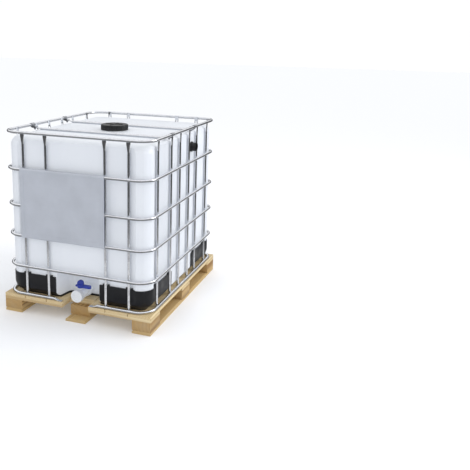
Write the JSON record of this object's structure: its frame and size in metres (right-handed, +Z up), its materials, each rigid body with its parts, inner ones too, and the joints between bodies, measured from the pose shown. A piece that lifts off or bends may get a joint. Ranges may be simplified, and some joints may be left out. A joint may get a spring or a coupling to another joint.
{
  "type": "intermediate bulk container",
  "caption": "Bulk liquid container: a white moulded tank in a galvanised tube cage on a wooden pallet, with a screw fill cap, a quarter-turn outlet valve and a pipe link port.",
  "frame": {"origin": "centre of the pallet's footprint at floor level", "axes": "+Z up; the outlet valve and label plate face -Y; +X runs to the right along that side; the link port faces +X"},
  "size_m": [1, 1.2, 1.16],
  "materials": {
    "deck_pine": "planed pine boards, pale, with knots",
    "runner_pine": "rough-sawn pine",
    "block_wood": "sawn pine blocks, darker end grain",
    "galvanised_tube": "hot-dip galvanised, light spangle",
    "zinc_fastener": "bright zinc plated",
    "dark_steel": "dark painted pressed steel",
    "plate_steel": "pale grey coated sheet, satin",
    "natural_hdpe": "natural translucent polyethylene, satin",
    "black_plastic": "black moulded polyethylene, satin",
    "cap_plastic": "black moulded plastic, slight gloss",
    "handle_plastic": "dark blue moulded plastic",
    "white_plastic": "white moulded plastic",
    "seal_rubber": "black rubber",
    "bush_rubber": "black rubber, slight sheen"
  },
  "bodies": {
    "container": {"base_tray": "black_plastic", "block_front_centre": "block_wood", "block_front_left": "block_wood", "block_front_right": "block_wood", "block_middle_centre": "block_wood", "block_middle_left": "block_wood", "block_middle_right": "block_wood", "block_rear_centre": "block_wood", "block_rear_left": "block_wood", "block_rear_right": "block_wood", "cross_bar_bolts": "zinc_fastener", "cross_bar_front": "galvanised_tube", "cross_bar_rear": "galvanised_tube", "cross_bar_saddles": "dark_steel", "cross_board_front": "deck_pine", "cross_board_middle": "deck_pine", "cross_board_rear": "deck_pine", "deck_board_centre": "deck_pine", "deck_board_left_outer": "deck_pine", "deck_board_left_second": "deck_pine", "deck_board_left_third": "deck_pine", "deck_board_right_outer": "deck_pine", "deck_board_right_second": "deck_pine", "deck_board_right_third": "deck_pine", "guard_front_left": "black_plastic", "guard_front_right": "black_plastic", "guard_rear_left": "black_plastic", "guard_rear_right": "black_plastic", "hold_down_saddles": "galvanised_tube", "hold_down_screws": "zinc_fastener", "label_plate": "plate_steel", "link_port_bush": "bush_rubber", "outlet_gasket": "seal_rubber", "outlet_union_nut": "natural_hdpe", "pallet_nails": "zinc_fastener", "ring_bottom": "galvanised_tube", "ring_lower": "galvanised_tube", "ring_middle": "galvanised_tube", "ring_skirt": "galvanised_tube", "ring_splice_pins": "galvanised_tube", "ring_top": "galvanised_tube", "ring_upper": "galvanised_tube", "runner_centre": "runner_pine", "runner_left": "runner_pine", "runner_right": "runner_pine", "tank": "natural_hdpe", "uprights_front": "galvanised_tube", "uprights_left": "galvanised_tube", "uprights_rear": "galvanised_tube", "uprights_right": "galvanised_tube", "valve_body": "natural_hdpe"},
    "outlet_handle": {"valve_handle": "handle_plastic", "valve_stem": "zinc_fastener", "valve_disc": "natural_hdpe", "handle_screw": "zinc_fastener", "stem_seal": "seal_rubber"},
    "fill_cap_rise": {"fill_gasket": "seal_rubber"},
    "fill_cap": {"fill_cap": "cap_plastic"},
    "dust_cap_rise": {"dust_cap_seal": "seal_rubber"},
    "dust_cap": {"dust_cap": "white_plastic"}
  },
  "joints": [
    {"name": "valve_lever", "type": "hinge", "parent": "container", "child": "outlet_handle", "pos_m": [0, -0.526, 0.2], "axis": [0, 0, -1], "range_deg": [0, 90]},
    {"name": "fill_cap_lift", "type": "slide", "parent": "container", "child": "fill_cap_rise", "axis": [0, 0, 1], "range_m": [0, 0.0281]},
    {"name": "fill_cap_turn", "type": "hinge", "parent": "fill_cap_rise", "child": "fill_cap", "pos_m": [0, -0.05, 1.146], "axis": [0, 0, 1], "range_deg": [0, 1440]},
    {"name": "dust_cap_lift", "type": "slide", "parent": "container", "child": "dust_cap_rise", "axis": [0, -1, 0], "range_m": [0, 0.0241]},
    {"name": "dust_cap_turn", "type": "hinge", "parent": "dust_cap_rise", "child": "dust_cap", "pos_m": [0, -0.571, 0.16], "axis": [0, -1, 0], "range_deg": [0, 1440]}
  ],
  "couplings": [
    {"joint": "fill_cap_lift", "follows": "fill_cap_turn", "m_per_rad": 0.0011141},
    {"joint": "dust_cap_lift", "follows": "dust_cap_turn", "m_per_rad": 0.00095493}
  ]
}
